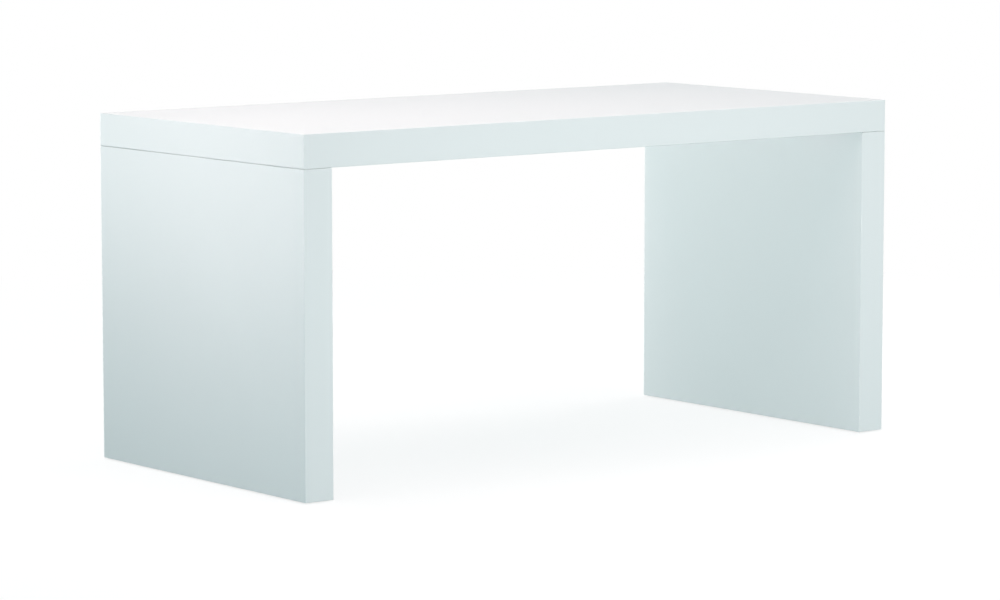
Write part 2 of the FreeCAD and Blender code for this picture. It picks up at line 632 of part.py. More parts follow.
def make_plate_screws(label, side):
    """Countersunk wood screws of one end, from the plates into the top rail."""
    body = new_body(label)
    point = "Sizes.screw_length - Sizes.screw_diameter"
    profile = new_sketch(body, "XZ_Plane", "profile")
    draw_outline(profile, [
        ("0", "0"),
        ("0", "Sizes.screw_head / 2"),
        ("(Sizes.screw_head - Sizes.screw_diameter) / 2", "Sizes.screw_diameter / 2"),
        (point, "Sizes.screw_diameter / 2"),
        ("Sizes.screw_length", "0"),
    ])
    turned = revolve(body, profile, "H_Axis", "turned")
    repeat(body, [turned], profile, [(2, "Sizes.screw_pitch"), (3, f"2 * {PLATE_PLACE}")])
    along = f"{side} * ({PLATE_PLACE} + Sizes.screw_pitch / 2)"
    height = f"{UNDERSIDE} - Sizes.screw_drop"
    place(body, f"{side} * ({LEG_INNER} + Sizes.leg_skin)", along, height, turned=side < 0)


def make_dowels(label, side):
    """Dowels that line an end up with the top, half in each."""
    body = new_body(label)
    radius = "Sizes.dowel_diameter / 2"
    tip = f"{radius} - Sizes.dowel_chamfer"
    profile = new_sketch(body, "XZ_Plane", "profile")
    draw_outline(profile, [
        ("0", "0"),
        (tip, "0"),
        (radius, "Sizes.dowel_chamfer"),
        (radius, "Sizes.dowel_length - Sizes.dowel_chamfer"),
        (tip, "Sizes.dowel_length"),
        ("0", "Sizes.dowel_length"),
    ])
    turned = revolve(body, profile, "V_Axis", "turned")
    repeat(body, [turned], profile, [(2, f"2 * {DOWEL_PLACE}")])
    base = f"{UNDERSIDE} - Sizes.dowel_length / 2"
    place(body, f"{side} * {LEG_MIDDLE}", f"{side} * {DOWEL_PLACE}", base, turned=side < 0)


# Levelling glides

def make_glide_inserts(label, side):
    """Flanged threaded inserts of one end, which the glide studs screw into."""
    body = new_body(label)
    bore = "Sizes.stud_diameter / 2 + Sizes.fit_clearance"
    profile = new_sketch(body, "XZ_Plane", "profile")
    draw_outline(profile, [
        (bore, "0"),
        ("Sizes.sleeve_flange / 2", "0"),
        ("Sizes.sleeve_flange / 2", "Sizes.flange_thickness"),
        ("Sizes.sleeve_diameter / 2", "Sizes.flange_thickness"),
        ("Sizes.sleeve_diameter / 2", "Sizes.sleeve_length"),
        (bore, "Sizes.sleeve_length"),
    ])
    turned = revolve(body, profile, "V_Axis", "turned")
    repeat(body, [turned], profile, [(2, f"2 * {GLIDE_PLACE}")])
    place(body, f"{side} * {LEG_MIDDLE}", f"{side} * {GLIDE_PLACE}", COLLAR_TOP, turned=side < 0)


def make_glide_pad(label, side, hand):
    """Nylon pad with a ball socket that opens upwards."""
    body = new_body(label)
    sketch = new_sketch(body, "XY_Plane", "disc")
    draw_circle(sketch, "0", "0", "Sizes.pad_diameter")
    pad(body, sketch, PAD_HEIGHT, "disc")
    ease(body, lambda edge: hasattr(edge.Curve, "Radius"), "Sizes.pad_round")
    socket = body.newObject("PartDesign::SubtractiveSphere", f"{label}_socket")
    socket.setExpression("Radius", SOCKET_RADIUS)
    socket.setExpression("Placement.Base.z", BALL_HEIGHT)
    place(body, f"{side} * {LEG_MIDDLE}", f"{hand} * {GLIDE_PLACE}", "0")


def make_glide_stud(label, side, hand):
    """Steel stud: ball, neck, hexagon collar and a plain cylinder for the thread."""
    ball = doc.addObject("Part::Sphere", f"{label}_ball")
    ball.setExpression("Radius", "Sizes.ball_diameter / 2")
    ball.setExpression("Placement.Base.z", BALL_HEIGHT)
    neck = doc.addObject("Part::Cylinder", f"{label}_neck")
    neck.setExpression("Radius", "Sizes.neck_diameter / 2")
    neck.setExpression("Height", f"{COLLAR_BASE} - {BALL_HEIGHT}")
    neck.setExpression("Placement.Base.z", BALL_HEIGHT)
    collar = doc.addObject("Part::Prism", f"{label}_collar")
    collar.Polygon = 6
    collar.setExpression("Circumradius", "Sizes.collar_flats / sqrt(3)")
    collar.setExpression("Height", "Sizes.collar_height")
    collar.setExpression("Placement.Base.z", COLLAR_BASE)
    thread = doc.addObject("Part::Cylinder", f"{label}_thread")
    thread.setExpression("Radius", "Sizes.stud_diameter / 2")
    thread.setExpression("Height", "Sizes.stud_length - Sizes.stud_tip")
    thread.setExpression("Placement.Base.z", COLLAR_TOP)
    tip = doc.addObject("Part::Cone", f"{label}_tip")
    tip.setExpression("Radius1", "Sizes.stud_diameter / 2")
    tip.setExpression("Radius2", "Sizes.stud_diameter / 2 - Sizes.stud_tip")
    tip.setExpression("Height", "Sizes.stud_tip")
    tip.setExpression("Placement.Base.z", f"{COLLAR_TOP} + Sizes.stud_length - Sizes.stud_tip")
    stud = doc.addObject("Part::MultiFuse", label)
    stud.Label = label
    stud.Shapes = [ball, neck, collar, thread, tip]
    pieces.append(stud)
    place(stud, f"{side} * {LEG_MIDDLE}", f"{hand} * {GLIDE_PLACE}", "0")


def make_top():
    """Slab top: two sheets on a frame with a lattice of ribs."""
    make_top_skin()
    make_underside_skin()
    for depth, hand in DEPTHS:
        make_long_rail(f"top_{depth}_rail", hand)
        make_long_rib(f"top_{depth}_long_rib", hand)
    for end, side in ENDS:
        make_end_rail(f"top_{end}_end_rail", side)
        make_fixing_batten(f"{end}_fixing_batten", side)
    for number in range(1, CROSS_RIBS + 1):
        make_cross_rib(number)


def make_end(end, side):
    """One slab end: two sheets on a frame with a lattice of ribs."""
    make_leg_skin(f"{end}_outer_skin", side, outer=True)
    make_leg_skin(f"{end}_inner_skin", side, outer=False)
    make_leg_top_rail(f"{end}_top_rail", side)
    make_leg_bottom_rail(f"{end}_bottom_rail", side)
    for depth, hand in DEPTHS:
        make_stile(f"{end}_{depth}_stile", side, hand)
        make_upright_rib(f"{end}_{depth}_upright_rib", side, hand)
    make_leg_cross_rib(f"{end}_lower_cross_rib", side, 1)
    make_leg_cross_rib(f"{end}_upper_cross_rib", side, 2)


def make_fixings(end, side):
    """What joins one end to the top."""
    for depth, step in PLATES:
        make_fixing_plate(f"{end}_{depth}_fixing_plate", side, step)
    make_plate_bolts(f"{end}_plate_bolts", side)
    make_threaded_inserts(f"{end}_threaded_inserts", side)
    make_plate_screws(f"{end}_plate_screws", side)
    make_dowels(f"{end}_dowels", side)


def make_glides(end, side):
    """What one end stands on."""
    make_glide_inserts(f"{end}_glide_inserts", side)
    for depth, hand in DEPTHS:
        make_glide_pad(f"{end}_{depth}_glide_pad", side, hand)
        make_glide_stud(f"{end}_{depth}_glide_stud", side, hand)


def check_document():
    """Stop if any object failed, or any piece has no sound solid."""
    for item in doc.Objects:
        if "Invalid" in item.State or "Error" in item.State:
            raise RuntimeError(f"{item.Label} failed: {item.State}")
    for piece in pieces:
        if piece.Shape.isNull() or not piece.Shape.isValid() or not piece.Shape.Solids:
            raise RuntimeError(f"{piece.Label} has no sound solid")


def write_pieces():
    """One file for each piece, in the table's frame."""
    os.makedirs("parts", exist_ok=True)
    for piece in pieces:
        piece.Shape.exportStep(f"parts/{piece.Label}.step")
        print(f"{piece.Label}: solids {len(piece.Shape.Solids)}, volume {piece.Shape.Volume:.1f}")


make_top()
for end_name, end_side in ENDS:
    make_end(end_name, end_side)
    make_fixings(end_name, end_side)
    make_glides(end_name, end_side)
doc.recompute()
check_document()
write_pieces()
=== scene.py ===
import functools
import json
import math
from typing import NamedTuple

import bmesh
import bpy
from mathutils import Matrix, Vector


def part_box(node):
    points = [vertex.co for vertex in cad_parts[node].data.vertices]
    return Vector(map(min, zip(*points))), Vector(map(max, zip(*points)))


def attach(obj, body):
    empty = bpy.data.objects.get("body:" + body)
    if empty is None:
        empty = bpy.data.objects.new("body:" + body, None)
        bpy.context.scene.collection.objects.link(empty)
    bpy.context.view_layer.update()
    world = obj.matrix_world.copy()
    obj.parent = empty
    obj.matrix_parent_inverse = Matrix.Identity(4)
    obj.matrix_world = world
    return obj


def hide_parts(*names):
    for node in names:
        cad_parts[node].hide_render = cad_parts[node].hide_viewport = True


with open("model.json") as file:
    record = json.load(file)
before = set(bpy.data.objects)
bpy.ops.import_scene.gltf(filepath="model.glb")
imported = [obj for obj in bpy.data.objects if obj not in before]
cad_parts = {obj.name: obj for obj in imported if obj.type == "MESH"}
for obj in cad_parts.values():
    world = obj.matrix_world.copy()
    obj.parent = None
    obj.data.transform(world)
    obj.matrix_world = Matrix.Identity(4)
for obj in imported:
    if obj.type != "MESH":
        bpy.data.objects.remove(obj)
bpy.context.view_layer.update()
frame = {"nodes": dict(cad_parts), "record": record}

bl_info = {
    "name": "Slab-end dining table",
    "version": (1, 0, 0),
    "blender": (4, 5, 0),
    "location": "3D View > Sidebar > Table",
    "description": "Finishes a white lacquered slab table and sets it in a plain studio",
    "category": "Object",
}

SLOT_OF_NODE = {part["node"]: part["material_slot"] for part in frame["record"]["subparts"]}
BODY_OF_NODE = {
    node: body for body, nodes in frame["record"]["behaviour"]["bodies"].items() for node in nodes
}
ENDS = ("left", "right")
CORNERS = ("left_front", "left_rear", "right_front", "right_rear")

# Inputs and output of a Mix node that is set to colours.
MIX_FACTOR = 0
MIX_FIRST = 6
MIX_SECOND = 7
MIX_RESULT = 2

# Segments of a circle and of the floor's rim, steps of an arc and of a ball, and of one turn of a thread.
ROUND = 36
FLOOR_ROUND = 96
ARC_STEPS = 6
BALL_STEPS = 12
THREAD_STEPS = 36

# Shares of a pitch where the crest of a thread starts and ends, the plain length before a thread, and
# the turns that are wound past its length and cut off again.
CREST = (0.44, 0.56)
RUN_OUT = 0.0005
SPARE_TURNS = 2

# Angle in degrees where a ball is closed, slope of the cone that turns the corners off a hexagon, lobes
# of a screw recess and their depth as a share of its width, and points along one flute of a dowel.
POLE = -87.0
CORNER_SLOPE = math.tan(math.radians(30.0))
LOBES = 6
LOBE_DEPTH = 0.14
FLUTE_STEPS = 4

# Distance at which points are one, distance within which a point lies on a cut, gap that parts the pieces
# of a row, and angle from which an edge is shaded as a corner.
WELD = 0.00001
ON_CUT = 0.000001
ROW_GAP = 0.01
SHARP_EDGE = math.radians(35.0)

# How the grain of the woods is stretched: the planks along Y, the dowels along Z.
PLANK_GRAIN = (1.0, 0.06, 1.0)
DOWEL_GRAIN = (1.0, 1.0, 0.12)


class Wire:
    """A shader socket that takes part in arithmetic: each operation adds one Math node."""

    def __init__(self, finish, socket):
        self.finish = finish
        self.socket = socket

    def other(self, output):
        """Another output of the node that this socket belongs to."""
        return Wire(self.finish, self.socket.node.outputs[output])

    def __add__(self, other):
        return self.finish.maths("ADD", self, other)

    __radd__ = __add__

    def __sub__(self, other):
        return self.finish.maths("SUBTRACT", self, other)

    def __rsub__(self, other):
        return self.finish.maths("SUBTRACT", other, self)

    def __mul__(self, other):
        return self.finish.maths("MULTIPLY", self, other)

    __rmul__ = __mul__

    def __lt__(self, other):
        return self.finish.maths("LESS_THAN", self, other)

    def __gt__(self, other):
        return self.finish.maths("GREATER_THAN", self, other)


class Finish:
    """A node tree that grows one call at a time, for a material or for the world."""

    def __init__(self, owner):
        self.owner = owner
        owner.use_nodes = True
        self.tree = owner.node_tree
        self.tree.nodes.clear()

    def node(self, kind, settings=None, sockets=None, output=0):
        """Adds a node, gives it its settings, then its socket values or links, and returns one output."""
        node = self.tree.nodes.new(kind)
        for name, value in (settings or {}).items():
            setattr(node, name, value)
        for name, value in (sockets or {}).items():
            if isinstance(value, Wire):
                self.tree.links.new(value.socket, node.inputs[name])
            else:
                node.inputs[name].default_value = value
        return Wire(self, node.outputs[output]) if node.outputs else None

    def maths(self, operation, first, second):
        return self.node("ShaderNodeMath", {"operation": operation}, {0: first, 1: second})

    def vector(self, operation, first, second=(0.0, 0.0, 0.0)):
        return self.node("ShaderNodeVectorMath", {"operation": operation}, {0: first, 1: second})

    def mix(self, factor, first, second):
        sockets = {MIX_FACTOR: factor, MIX_FIRST: first, MIX_SECOND: second}
        return self.node("ShaderNodeMix", {"data_type": "RGBA"}, sockets, MIX_RESULT)

    def place(self):
        """The point on the piece, in metres, in the frame that all pieces share."""
        return self.node("ShaderNodeTexCoord", output="Object")

    def noise(self, place, size, detail=2.0, distortion=0.0):
        """Soft noise from 0 to 1 whose spots are about as wide as size."""
        sockets = {"Vector": place, "Scale": 1.0 / size, "Detail": detail, "Distortion": distortion}
        return self.node("ShaderNodeTexNoise", None, sockets)

    def between(self, share, low, high):
        """A value that goes from low to high while share goes from 0 to 1."""
        return low + share * (high - low)

    def tones(self, share, colour, dark, light):
        """A colour that goes from its dark shade to its light one while share goes from 0 to 1."""
        return self.mix(share, opaque(colour, dark), opaque(colour, light))

    def bump(self, height, depth):
        """Relief that rises by depth, in metres, while height goes from 0 to 1."""
        return self.node("ShaderNodeBump", None, {"Strength": 1.0, "Distance": depth, "Height": height})

    def surface(self, shader):
        """Ends the tree of a material in a shader and returns the material."""
        self.node("ShaderNodeOutputMaterial", None, {"Surface": shader})
        return self.owner


def opaque(colour, shade=1.0):
    """A colour with its alpha, made darker or lighter by shade."""
    return (colour[0] * shade, colour[1] * shade, colour[2] * shade, 1.0)


def new_finish(name):
    """An empty node tree in a new material."""
    return Finish(bpy.data.materials.new(name))


def box_round(nodes):
    """Lowest and highest corner round several CAD nodes at rest."""
    boxes = [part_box(node) for node in nodes]
    low = Vector([min(values) for values in zip(*(box[0] for box in boxes))])
    high = Vector([max(values) for values in zip(*(box[1] for box in boxes))])
    return low, high


def dress(nodes, material):
    """Puts one material on CAD nodes that keep their own shape."""
    for node in nodes:
        piece = frame["nodes"][node]
        for slot in piece.material_slots:
            slot.material = material


def row_of(node):
    """Boxes of the like pieces in one CAD node, which stand in a row from front to back."""
    vertices = frame["nodes"][node].data.vertices
    points = sorted((vertex.co.copy() for vertex in vertices), key=lambda point: point.y)
    groups = [[points[0]]]
    for point in points[1:]:
        if point.y - groups[-1][-1].y > ROW_GAP:
            groups.append([])
        groups[-1].append(point)
    return [(Vector(map(min, zip(*group))), Vector(map(max, zip(*group)))) for group in groups]


def nodes_of(slot, side=""):
    """CAD nodes that take one of the record's finishes, on one side of the table or on both."""
    found = [node for node, finish in SLOT_OF_NODE.items() if finish == slot and node.startswith(side)]
    if not found:
        raise RuntimeError(f"no piece of the table takes the finish {slot}")
    return sorted(found)


def white_lacquer(name, looks, low, high):
    """Sprayed satin lacquer on the outer faces of one slab, bare board on its glued inner faces."""
    finish = new_finish(name)
    place = finish.place()
    offset = finish.vector("ABSOLUTE", finish.vector("SUBTRACT", place, (low + high) / 2))
    inset = finish.vector("SUBTRACT", (high - low) / 2, offset)
    along = finish.node("ShaderNodeSeparateXYZ", None, {"Vector": inset}, "X")
    depth = finish.maths("MINIMUM", finish.maths("MINIMUM", along, along.other("Y")), along.other("Z"))
    film = depth < looks.film_reach
    passes = finish.noise(place, size=looks.pass_width, detail=1.0)
    peel = finish.noise(place, size=looks.peel_width)
    fibre = finish.noise(place, size=looks.fibre_width, detail=4.0)
    coat = finish.tones(passes, looks.colour, dark=0.985, light=1.0)
    board = finish.tones(fibre, looks.board, dark=0.8, light=1.1)
    haze = finish.between(passes, low=-0.04, high=0.04)
    speckle = finish.between(peel, low=-0.03, high=0.03)
    satin = looks.roughness + haze + speckle
    shader = finish.node("ShaderNodeBsdfPrincipled", None, {
        "Base Color": finish.mix(film, board, coat),
        "Roughness": finish.between(film, looks.board_roughness, satin),
        "Normal": finish.bump(finish.between(film, fibre, peel), looks.peel_depth),
        "IOR": looks.film_ior,
    })
    return finish.surface(shader)


def bare_fibreboard(looks):
    """Pale brown board with felted fibres and a few dark flecks."""
    finish = new_finish("bare_fibreboard")
    place = finish.place()
    felt = finish.noise(place, size=0.0012, detail=5.0)
    fleck = finish.noise(place, size=0.004, detail=1.0) > looks.board_flecks
    ground = finish.tones(felt, looks.board, dark=0.75, light=1.15)
    shader = finish.node("ShaderNodeBsdfPrincipled", None, {
        "Base Color": finish.mix(fleck * looks.fleck_strength, ground, opaque(looks.board, shade=0.45)),
        "Roughness": finish.between(felt, low=0.8, high=0.95),
        "Normal": finish.bump(felt, depth=0.0001),
    })
    return finish.surface(shader)


def softwood(looks):
    """Planed pine with its grain along the width of the table."""
    finish = new_finish("softwood")
    place = finish.place()
    stretched = finish.node("ShaderNodeMapping", None, {"Vector": place, "Scale": PLANK_GRAIN})
    rings = finish.node("ShaderNodeTexWave", {"wave_type": "RINGS", "rings_direction": "Y"}, {
        "Vector": stretched, "Scale": 45.0, "Distortion": 6.0, "Detail": 3.0, "Detail Scale": 2.0,
    })
    fibre = finish.noise(stretched, size=0.0006, detail=3.0)
    grain = finish.between(looks.ring_strength, fibre, rings)
    shader = finish.node("ShaderNodeBsdfPrincipled", None, {
        "Base Color": finish.tones(grain, looks.softwood, dark=0.72, light=1.0),
        "Roughness": finish.between(fibre, low=0.62, high=0.82),
        "Normal": finish.bump(grain, depth=0.00008),
    })
    return finish.surface(shader)


def beech(looks):
    """Turned beech with short dark flecks along the dowel."""
    finish = new_finish("beech")
    place = finish.place()
    stretched = finish.node("ShaderNodeMapping", None, {"Vector": place, "Scale": DOWEL_GRAIN})
    fibre = finish.noise(stretched, size=0.0005, detail=3.0)
    fleck = finish.noise(stretched, size=0.0011, detail=1.0) > looks.beech_flecks
    ground = finish.tones(fibre, looks.beech, dark=0.85, light=1.05)
    shader = finish.node("ShaderNodeBsdfPrincipled", None, {
        "Base Color": finish.mix(fleck * looks.fleck_strength, ground, opaque(looks.beech, shade=0.5)),
        "Roughness": finish.between(fibre, low=0.55, high=0.7),
        "Normal": finish.bump(fibre, depth=0.00005),
    })
    return finish.surface(shader)


def zinc_steel(looks):
    """Bright zinc plate on steel, with the cloudy tint and fine pitting of the bath."""
    finish = new_finish("zinc_steel")
    place = finish.place()
    cloud = finish.noise(place, size=0.018, detail=3.0, distortion=0.6)
    pitting = finish.noise(place, size=0.0007, detail=3.0)
    haze = finish.between(cloud, low=-0.06, high=0.06)
    speckle = finish.between(pitting, low=-0.05, high=0.05)
    shader = finish.node("ShaderNodeBsdfPrincipled", None, {
        "Base Color": finish.tones(cloud, looks.steel, dark=0.86, light=1.0),
        "Metallic": 1.0,
        "Roughness": looks.steel_roughness + haze + speckle,
        "Normal": finish.bump(pitting, depth=0.00002),
    })
    return finish.surface(shader)


def nylon(looks):
    """Moulded nylon with a fine spark-eroded grain and soft scuffs."""
    finish = new_finish("nylon")
    place = finish.place()
    grain = finish.noise(place, size=0.0006)
    scuff = finish.noise(place, size=0.003, detail=4.0, distortion=1.0)
    shader = finish.node("ShaderNodeBsdfPrincipled", None, {
        "Base Color": finish.tones(scuff, looks.nylon, dark=0.88, light=1.0),
        "Roughness": finish.between(grain, low=0.42, high=0.58),
        "Normal": finish.bump(grain, depth=0.00003),
    })
    return finish.surface(shader)


def hexagon(flats):
    """Outline of a hexagon, given across its flats, with a corner on the X axis."""
    return lambda angle: flats / 2 / math.cos(angle % (math.pi / 3) - math.pi / 6)


def flutes(radius, depth, count):
    """Outline of a dowel with straight grooves."""
    return lambda angle: radius - depth / 2 * (1 - math.cos(count * angle))


def lobes(across):
    """Outline of a lobed screw recess."""
    return flutes(across / 2, across * LOBE_DEPTH, LOBES)


def arc(radius, height, bend, start, end, steps=ARC_STEPS):
    """Points of a profile, as radius and height, along an arc that is given in degrees."""
    angles = [math.radians(start + (end - start) * step / steps) for step in range(steps + 1)]
    return [(radius + bend * math.cos(angle), height + bend * math.sin(angle)) for angle in angles]


def of_kind(geometry, kind):
    """The vertices, edges or faces in what a mesh operator returns."""
    return [item for item in geometry if isinstance(item, kind)]


def at_angle(value, angle):
    """A radius or height, which is a number or follows the angle."""
    return value(angle) if callable(value) else value


def set_ring(verts, outline, height):
    """Moves a ring of vertices to the radius and height of an outline."""
    for vert in verts:
        angle = math.atan2(vert.co.y, vert.co.x)
        radius = at_angle(outline, angle)
        vert.co = (radius * math.cos(angle), radius * math.sin(angle), at_angle(height, angle))


def turn(mesh, profile, segments=ROUND):
    """Turns a wall through the outlines and heights of a profile, and returns its end loops of edges."""
    verts = bmesh.ops.create_circle(mesh, segments=segments, radius=1.0)["verts"]
    set_ring(verts, *profile[0])
    first = list(dict.fromkeys(edge for vert in verts for edge in vert.link_edges))
    last = first
    for outline, height in profile[1:]:
        geometry = bmesh.ops.extrude_edge_only(mesh, edges=last)["geom"]
        set_ring(of_kind(geometry, bmesh.types.BMVert), outline, height)
        last = of_kind(geometry, bmesh.types.BMEdge)
    return first, last


def bridge(mesh, first, second):
    """A wall between two loops of edges that stand apart."""
    bmesh.ops.bridge_loops(mesh, edges=first + second)


def cap(mesh, loop):
    """One flat face across a loop of edges."""
    bmesh.ops.contextual_create(mesh, geom=loop)


def spread(mesh, places):
    """Puts a copy of the mesh at each place and drops the pattern."""
    pattern = [*mesh.verts, *mesh.edges, *mesh.faces]
    pattern_verts = mesh.verts[:]
    for place in places:
        copy = bmesh.ops.duplicate(mesh, geom=pattern)["geom"]
        bmesh.ops.transform(mesh, matrix=place, verts=of_kind(copy, bmesh.types.BMVert))
    bmesh.ops.delete(mesh, geom=pattern_verts, context="VERTS")


def join(mesh, part):
    """Adds a part to a mesh and frees the part."""
    carrier = bpy.data.meshes.new("carrier")
    part.to_mesh(carrier)
    part.free()
    mesh.from_mesh(carrier)
    bpy.data.meshes.remove(carrier)


def end_loop(mesh, radius, height):
    """Open edges that lie on one circle."""
    def on_circle(vert):
        return abs(vert.co.z - height) < WELD and abs(vert.co.xy.length - radius) < WELD

    return [edge for edge in mesh.edges if edge.is_boundary and all(map(on_circle, edge.verts))]


def wind_thread(mesh, crest, root, pitch, low, high):
    """Winds a thread that runs out to its root at both ends, and returns its two end loops.

    A crest inside the root gives the thread of a bore.
    """
    part = bmesh.new()
    turns = math.ceil((high - low) / pitch) + SPARE_TURNS
    profile = ((root, 0.0), (crest, CREST[0]), (crest, CREST[1]), (root, 1.0))
    points = [part.verts.new((radius, 0.0, low + (share - 1.0) * pitch)) for radius, share in profile]
    edges = [part.edges.new(pair) for pair in zip(points, points[1:])]
    bmesh.ops.spin(
        part, geom=points + edges, axis=(0.0, 0.0, 1.0), dvec=(0.0, 0.0, pitch / THREAD_STEPS),
        angle=math.tau, steps=THREAD_STEPS)
    spread(part, [Matrix.Translation((0.0, 0.0, lap * pitch)) for lap in range(turns)])
    bmesh.ops.remove_doubles(part, verts=part.verts, dist=WELD)
    for height, outward in ((low, -1.0), (high, 1.0)):
        geometry = [*part.verts, *part.edges, *part.faces]
        bmesh.ops.bisect_plane(
            part, geom=geometry, dist=ON_CUT, plane_co=(0.0, 0.0, height), plane_no=(0.0, 0.0, outward),
            clear_outer=True)
    for vert in part.verts:
        room = max(0.0, min(vert.co.z - low, high - vert.co.z))
        radius = vert.co.xy.length
        vert.co.xy *= (root + max(-room, min(room, radius - root))) / radius
    join(mesh, part)
    return end_loop(mesh, root, low), end_loop(mesh, root, high)


def bore_root(sizes):
    """Radius at the bottom of the thread in a bore."""
    return sizes.thread_diameter / 2 + sizes.thread_room + sizes.thread_depth


def wind_bore(mesh, sizes, length):
    """The thread of a bore that takes a bolt or a stud, short of its countersunk mouths."""
    root = bore_root(sizes)
    crest = root - sizes.thread_depth
    return wind_thread(mesh, crest, root, sizes.thread_pitch, sizes.head_land, length - sizes.head_land)


def plate_bolt(sizes, head, length):
    """Countersunk bolt with its head down, a hexagon socket and a machine thread."""
    mesh = bmesh.new()
    crest = sizes.thread_diameter / 2
    root = crest - sizes.thread_depth
    rim = head / 2 - sizes.head_land
    neck = head / 2 - root
    thread_start, tip = wind_thread(mesh, crest, root, sizes.thread_pitch, neck + RUN_OUT, length)
    socket_floor, shank = turn(mesh, [
        (hexagon(sizes.key_flats), sizes.key_depth),
        (hexagon(sizes.key_flats), sizes.head_land),
        (hexagon(sizes.key_flats + 2 * sizes.head_land), 0.0),
        (rim, 0.0),
        (rim, sizes.head_land),
        (root, neck),
    ])
    bridge(mesh, shank, thread_start)
    cap(mesh, socket_floor)
    cap(mesh, tip)
    return mesh


def threaded_insert(sizes, width, length):
    """Insert with a coarse thread outside and the bolts' thread in its bore."""
    mesh = bmesh.new()
    crest = width / 2
    outer = wind_thread(mesh, crest, crest - sizes.insert_depth, sizes.insert_pitch, 0.0, length)
    inner = wind_bore(mesh, sizes, length)
    for rim, mouth in zip(outer, inner):
        bridge(mesh, rim, mouth)
    return mesh


def plate_screw(sizes, head, length):
    """Countersunk wood screw along the Z axis, with a lobed recess, a plain shank and a gimlet point."""
    mesh = bmesh.new()
    crest = sizes.screw_diameter / 2
    root = sizes.screw_core / 2
    rim = head / 2 - sizes.head_land
    thread_start, _ = wind_thread(mesh, crest, root, sizes.screw_pitch, sizes.screw_shank, length)
    for vert in mesh.verts:
        vert.co.xy *= min(1.0, (length - vert.co.z) / sizes.screw_diameter)
    bmesh.ops.remove_doubles(mesh, verts=mesh.verts, dist=WELD)
    recess_floor, shank = turn(mesh, [
        (lobes(sizes.drive_width), sizes.drive_depth),
        (lobes(sizes.drive_width), 0.0),
        (rim, 0.0),
        (rim, sizes.head_land),
        (root, head / 2 - root),
    ])
    bridge(mesh, shank, thread_start)
    cap(mesh, recess_floor)
    return mesh


def fluted_dowel(sizes, width, length):
    """Dowel with glue flutes and bevelled ends."""
    mesh = bmesh.new()
    end = width / 2 - sizes.dowel_bevel
    barrel = flutes(width / 2, sizes.flute_depth, sizes.dowel_flutes)
    profile = [(end, 0.0), (barrel, sizes.dowel_bevel), (barrel, length - sizes.dowel_bevel), (end, length)]
    for loop in turn(mesh, profile, segments=FLUTE_STEPS * sizes.dowel_flutes):
        cap(mesh, loop)
    return mesh


def glide_sleeve(sizes, glide, flange, length):
    """Flanged insert with barbs that grip the bottom rail, and the stud's thread in its bore."""
    mesh = bmesh.new()
    rim = flange / 2
    barrel = glide.sleeve_diameter / 2
    mouth = bore_root(sizes) + sizes.head_land
    profile = [
        (mouth, 0.0),
        (rim - sizes.head_land, 0.0),
        (rim, sizes.head_land),
        (rim, glide.flange_thickness - sizes.head_land),
        (rim - sizes.head_land, glide.flange_thickness),
    ]
    step = (length - glide.flange_thickness) / glide.sleeve_barbs
    for barb in range(glide.sleeve_barbs):
        base = glide.flange_thickness + barb * step
        profile += [(barrel, base), (barrel - glide.barb_depth, base + step)]
    profile.append((mouth, length))
    for end, bore_end in zip(turn(mesh, profile), wind_bore(mesh, sizes, length)):
        bridge(mesh, end, bore_end)
    return mesh


def glide_stud(sizes, glide, width, length):
    """Stud that stands on its ball: neck, hexagon collar with turned corners, and a machine thread."""
    mesh = bmesh.new()
    crest = sizes.thread_diameter / 2
    root = crest - sizes.thread_depth
    collar_top = length - glide.stud_length
    collar_base = collar_top - glide.collar_height
    ball = glide.ball_diameter / 2
    neck = glide.neck_diameter / 2
    neck_angle = math.degrees(math.acos(neck / ball))
    bevel = width / 2 - sizes.head_land
    side = hexagon(width)
    thread_start, tip = wind_thread(mesh, crest, root, sizes.thread_pitch, collar_top + RUN_OUT, length)
    pole, shank = turn(mesh, [
        *arc(0.0, ball, ball, POLE, neck_angle, BALL_STEPS),
        (neck, collar_base),
        (bevel, collar_base),
        (side, lambda angle: collar_base + CORNER_SLOPE * (side(angle) - bevel)),
        (side, lambda angle: collar_top - CORNER_SLOPE * (side(angle) - bevel)),
        (bevel, collar_top),
        (root, collar_top),
    ])
    bridge(mesh, shank, thread_start)
    cap(mesh, pole)
    cap(mesh, tip)
    return mesh


def glide_pad(glide, width, height):
    """Moulded pad with a ball socket above and two shallow grip grooves in its sole."""
    mesh = bmesh.new()
    edge = glide.pad_round
    rim = width / 2 - edge
    socket = glide.socket_diameter / 2
    mouth_angle = math.degrees(math.acos(glide.mouth_diameter / glide.socket_diameter))
    centre = height - socket * math.sin(math.radians(mouth_angle))
    groove = glide.groove_depth
    sole = []
    for share in glide.groove_places:
        inner = share * rim
        outer = inner + glide.groove_width
        sole += [(inner, 0.0), (inner + groove, groove), (outer - groove, groove), (outer, 0.0)]
    for loop in turn(mesh, [
        *sole,
        *arc(rim, edge, edge, -90.0, 0.0),
        *arc(rim, height - edge, edge, 0.0, 90.0),
        *arc(0.0, centre, socket, mouth_angle, POLE, BALL_STEPS),
    ]):
        cap(mesh, loop)
    return mesh


def stand(box):
    """Sets a piece upright on the floor of a box."""
    low, high = box
    middle = (low + high) / 2
    return Matrix.Translation((middle.x, middle.y, low.z))


def drive_outward(box):
    """Lays a screw along X with its head towards the middle of the table."""
    low, high = box
    middle = (low + high) / 2
    outward = math.copysign(1.0, middle.x)
    head = low.x if outward > 0 else high.x
    return Matrix.Translation((head, middle.y, middle.z)) @ Matrix.Rotation(outward * math.pi / 2, 4, "Y")


